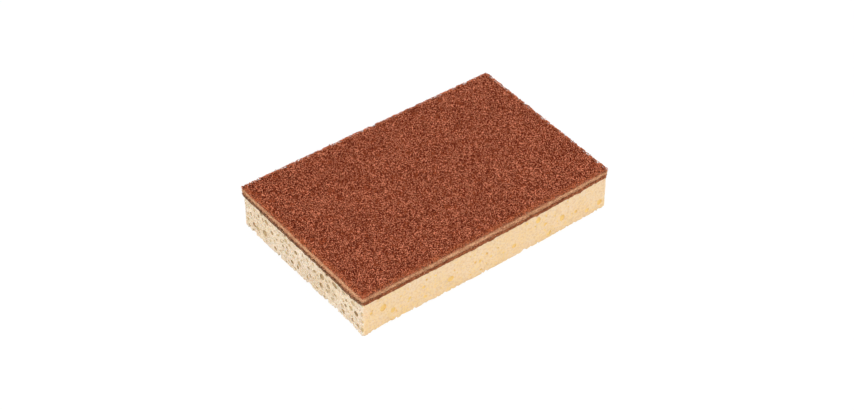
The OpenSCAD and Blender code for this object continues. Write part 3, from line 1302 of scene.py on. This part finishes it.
    def fibres(self, name: str, count: int, rise: float, tone: float, seed: int) -> Piece:
        """Lay crimped fibres at random over the top and down over the rolled edges.

        Args:
            name: Name of the piece.
            count: How many fibres.
            rise: Mean height above the web's surface.
            tone: Mean tone, from 0, dark, to 1, light.
            seed: Seed of the draw.

        Returns:
            The piece.
        """
        dice = np.random.default_rng(seed)
        steps = self.steps
        span = self.half + self.hang - self.roll
        start = self._scatter(dice, count, span + self.spare * steps * self.step)
        turn = dice.normal(0, self.wander, (len(start), steps))
        for k in range(1, steps):
            turn[:, k] += self.carry * turn[:, k - 1]
        way = dice.uniform(0, 2 * math.pi, (len(start), 1)) + np.cumsum(turn, 1)
        along = start[:, :1] + np.cumsum(np.cos(way), 1) * self.step
        across = start[:, 1:] + np.cumsum(np.sin(way), 1) * self.step
        inside = (np.abs(along) < span[0]).all(1) & (np.abs(across) < span[1]).all(1)
        along, across = along[inside], across[inside]
        count = len(along)
        flat = np.stack([along, across, 0 * along], -1).reshape(-1, 3)
        clump, cloud = (Wave(*kind).at(flat).reshape(count, steps) for kind in (self.clumps, self.clouds))
        pitch = dice.uniform(*self.crimp_pitch, (count, 1))
        wave = np.sin(dice.uniform(*self.crimp_start, (count, 1)) + np.arange(steps) * pitch)
        crimped = (self.crimp * wave + self.clump * clump) * MM
        height = rise + crimped + dice.normal(0, self.uneven, (count, 1))
        points, normal = self.bend(along, across, height)
        radius = dice.uniform(*self.thick, (count, 1))
        radius = radius * (1 + self.lumpy * dice.normal(size=(count, steps)).clip(-1, 1))
        radius[:, [0, -1]] *= self.tip
        own = tone + dice.normal(0, self.own_tone, (count, 1))
        own = own + dice.normal(0, self.step_tone, (count, steps))
        rim = fade((self.half - np.abs(np.stack([along, across], -1))).min(-1), self.rim)
        # The clumps and the crimp paint shade: fibres lighter where they rise, darker where they sink
        own += sum(tint * part for tint, part in zip(self.tints_and_shade, (clump, cloud, wave, rim), strict=True))
        marks = {"tone": np.clip(own, 0, 1), "rim": rim, "edge": self.cut_share(points)}
        return self._strands(name, points, normal, radius, marks)

    def cut_ends(self, name: str, count: int, seed: int) -> Piece:
        """Stand the cut ends of fibres out of the sides of the pad.

        Args:
            name: Name of the piece.
            count: How many ends.
            seed: Seed of the draw.

        Returns:
            The piece.
        """
        dice = np.random.default_rng(seed)
        start = self.half - self.roll
        quarter = self.roll * math.pi / 2
        depth = (self.high - self.loose - self.roll - self.low) + quarter
        turn = dice.uniform(0, 4 * (start[0] + start[1]), count)
        run = dice.uniform(self.end_start * quarter, depth, count)
        long = turn < 4 * start[0]
        side = np.where(dice.uniform(size=count) < 0.5, -1.0, 1.0)
        place = dice.uniform(-self.end_span, self.end_span, count)
        along = np.where(long, place * start[0], side * (start[0] + run))
        across = np.where(long, side * (start[1] + run), place * start[1])
        root, normal = self.bend(along, across, np.full(count, self.end_root))
        lean = unit(normal + dice.normal(0, self.end_lean, (count, 3)))
        reach = dice.gamma(*self.end_reach, count).clip(*self.end_limits) * MM + self.end_least
        bend = dice.normal(0, self.end_bend, (count, 3)) * reach[:, None]
        tip = lean * reach[:, None]
        points = np.stack([root, root + tip * self.elbow, root + tip + bend * self.end_tip], 1)
        points[..., 2] = np.maximum(points[..., 2], self.low + self.end_floor)
        radius = dice.uniform(*self.end_thick, (count, 1)) * np.array(self.end_taper)
        beside = unit(np.cross(lean, dice.normal(size=(count, 3))))
        cut, glued = self.cut_share(points), self.near_glue(points)
        tone = np.where(long, *self.end_tones)[:, None] + self.end_tan * cut
        tone = tone - self.end_stained[0] * glued + dice.normal(0, self.end_tone, (count, 1))
        marks = {"tone": np.clip(tone, 0, 1), "edge": cut * (1 - self.end_stained[1] * glued)}
        return self._strands(name, points, np.repeat(beside[:, None], 3, 1), radius, marks)

    def _strands(
        self, name: str, points: Array, normal: Array, radius: Array, marks: dict[str, Array]
    ) -> Piece:
        """Sweep a triangle along each path, close its ends, and mark and dress the fibres.

        Args:
            name: Name of the piece.
            points: For each fibre, the points of its path.
            normal: A direction across the path at each point.
            radius: Radius at each point.
            marks: Numbers that the coat reads, for each point.

        Returns:
            The piece.
        """
        count, steps = points.shape[:2]
        tangent = unit(np.gradient(points, axis=1))
        right = unit(np.cross(tangent, normal))
        upper = np.cross(right, tangent)
        angles = [math.radians(90 + 360 / CORNERS * k) for k in range(CORNERS)]
        spokes = (math.cos(angle) * right + math.sin(angle) * upper for angle in angles)
        vertices = np.stack([points + radius[..., None] * spoke for spoke in spokes], 2)
        base = (np.arange(count) * steps * CORNERS)[:, None, None]
        rows = (np.arange(steps - 1) * CORNERS)[None, :, None]
        a, b = (base + rows + (np.arange(CORNERS) + k) % CORNERS for k in (0, 1))
        walls = np.stack([a, a + CORNERS, b + CORNERS, a, b + CORNERS, b], -1).reshape(-1, 3)
        first = base[:, 0] + np.array([0, 1, 2])
        last = base[:, 0] + (steps - 1) * CORNERS + np.array([0, 2, 1])
        piece = Bench.mesh(name, self.settle(vertices.reshape(-1, 3)), np.concatenate([walls, first, last]))
        for key, values in marks.items():
            Bench.mark(piece, key, np.repeat(values.ravel(), CORNERS))
        Bench.pick(piece)
        bpy.ops.object.shade_smooth()
        piece.data.materials.append(bpy.data.materials.get("coated_fibre") or FibreFinish().make())
        return piece


@dataclass(frozen=True)
class Lamp:
    """A square soft lamp that faces the object, with its side in metres and its power in watts."""

    name: str
    place: Triple
    size: float
    power: float
    colour: Triple

    def hang(self) -> None:
        """Add the lamp."""
        aim = Vector(self.place).to_track_quat("Z", "Y").to_euler()
        Bench.clear()
        bpy.ops.object.light_add(type="AREA", location=self.place, rotation=aim)
        made = bpy.context.active_object
        made.name = self.name
        made.data.shape = "SQUARE"
        made.data.size = self.size
        made.data.energy = self.power
        made.data.color = self.colour


@dataclass(frozen=True)
class Studio:
    """The photograph's camera, a white floor and plain soft light."""

    # The camera: its turn and rise round the object in degrees, its distance, and its shift right and up
    azimuth: float = -37.3
    elevation: float = 41.21
    distance: float = 991.5 * MM
    right: float = 0.08 * MM
    up: float = 4.4 * MM

    # Its focal length and the photograph's width in pixels, its sensor in millimetres and what it clips
    focal_px: float = 2150.0
    frame_px: float = 854.0
    sensor: float = 36.0
    clip: Range = (0.01, 20.0)

    # Strength of the surrounding light, and the floor's size, drop, grey and share and strength of white
    surround: float = 0.5
    floor_size: float = 6.0
    floor_drop: float = 0.05 * MM
    floor_grey: Colour = (0.9, 0.9, 0.9, 1.0)
    floor_share: float = 0.9
    floor_glow: float = 1.03

    lamps: tuple[Lamp, ...] = (
        Lamp("near_right_softbox", (0.55, -0.75, 0.75), 0.5, 4.4, (1.0, 0.975, 0.93)),
        Lamp("left_softbox", (-0.85, -0.15, 0.6), 0.6, 4.2, (1.0, 0.99, 0.97)),
        Lamp("overhead_softbox", (0.05, 0.25, 1.1), 0.7, 3.3, (1.0, 1.0, 1.0)),
    )

    def camera(self) -> None:
        """Add the camera at the photograph's place."""
        turn, rise = math.radians(self.azimuth), math.radians(self.elevation)
        back = Vector((math.sin(turn) * math.cos(rise), -math.cos(turn) * math.cos(rise), math.sin(rise)))
        right = Vector((0, 0, 1)).cross(back).normalized()
        place = right * self.right + back.cross(right) * self.up + back * self.distance
        Bench.clear()
        bpy.ops.object.camera_add(location=place, rotation=back.to_track_quat("Z", "Y").to_euler())
        camera = bpy.context.active_object
        camera.name = "photo_camera"
        camera.data.sensor_width = self.sensor
        camera.data.lens = self.sensor * self.focal_px / self.frame_px
        camera.data.clip_start, camera.data.clip_end = self.clip
        bpy.context.scene.camera = camera

    def light(self) -> None:
        """Light the object from all round, so that colours show as written."""
        scene = bpy.context.scene
        scene.view_settings.view_transform = "Standard"
        world = bpy.data.worlds.new("white_studio")
        world.use_nodes = True
        scene.world = world
        nodes = Nodes(world.node_tree)
        strength = nodes.in_view() * (1 - self.surround) + self.surround
        glow = nodes.node("ShaderNodeBackground", None, {"Color": WHITE, "Strength": strength})
        nodes.node("ShaderNodeOutputWorld", None, {"Surface": glow}, None)
        for lamp in self.lamps:
            lamp.hang()

    def floor(self) -> Piece:
        """Add the white floor, which keeps a faint shadow of the object.

        Returns:
            The floor.
        """
        Bench.clear()
        bpy.ops.mesh.primitive_plane_add(size=self.floor_size, location=(0, 0, -self.floor_drop))
        ground = bpy.context.active_object
        ground.name = "studio_floor"
        bpy.ops.object.transform_apply(location=True, rotation=False, scale=False)
        finish = Finish("white_floor")
        finish.feed(Base_Color=self.floor_grey, Roughness=1.0, Specular_IOR_Level=0.0)
        glow = finish.node("ShaderNodeEmission", None, {"Color": WHITE, "Strength": self.floor_glow})
        matt = Wire(finish, finish.shader.outputs[0])
        share = finish.in_view() * self.floor_share
        finish.show(finish.node("ShaderNodeMixShader", None, {0: share, 1: matt, 2: glow}))
        ground.data.materials.append(finish.material)
        return ground


@dataclass
class CleaningSponge:
    """The whole object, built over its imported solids."""

    long: float = 140.1 * MM
    wide: float = 91.2 * MM

    def build(self) -> list[Piece]:
        """Build and dress every piece, hang each on the body and hide the imported solid that it replaces.

        Returns:
            The pieces.
        """
        plan = Plan(self.long, self.wide)
        sponge_low, sponge_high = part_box("sponge_block")
        glue_low, glue_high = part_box("bond_layer")
        pad_low, pad_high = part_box("scouring_pad")
        foam = SpongeBlock(plan, sponge_low.z, sponge_high.z).build()
        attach(foam, BODY)
        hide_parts("sponge_block")
        glue = GlueLine(plan, glue_low.z, glue_high.z).build()
        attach(glue, BODY)
        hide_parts("bond_layer")
        web = Web(plan, pad_low.z, pad_high.z)
        parts = [
            web.mat(),
            # Lower layers take darker tones: painted shade down in the web
            web.fibres("web_fibres_deep", 2850, -0.16 * MM, 0.42, 61),
            web.fibres("web_fibres_middle", 2850, 0.0, 0.48, 62),
            web.fibres("web_fibres_top", 2850, 0.14 * MM, 0.54, 63),
            web.cut_ends("web_cut_ends", 7000, 64),
        ]
        for part in parts:
            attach(part, BODY)
        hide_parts("scouring_pad")
        return [foam, glue, *parts]


def main() -> None:
    """Build the object and its studio, and report each piece."""
    logging.basicConfig(level=logging.INFO, format="%(message)s")
    studio = Studio()
    studio.camera()
    studio.light()
    studio.floor()
    for piece in CleaningSponge().build():
        piece.data.calc_loop_triangles()
        LOG.info("%s: %d triangles", piece.name, len(piece.data.loop_triangles))


if __name__ == "__main__":
    main()
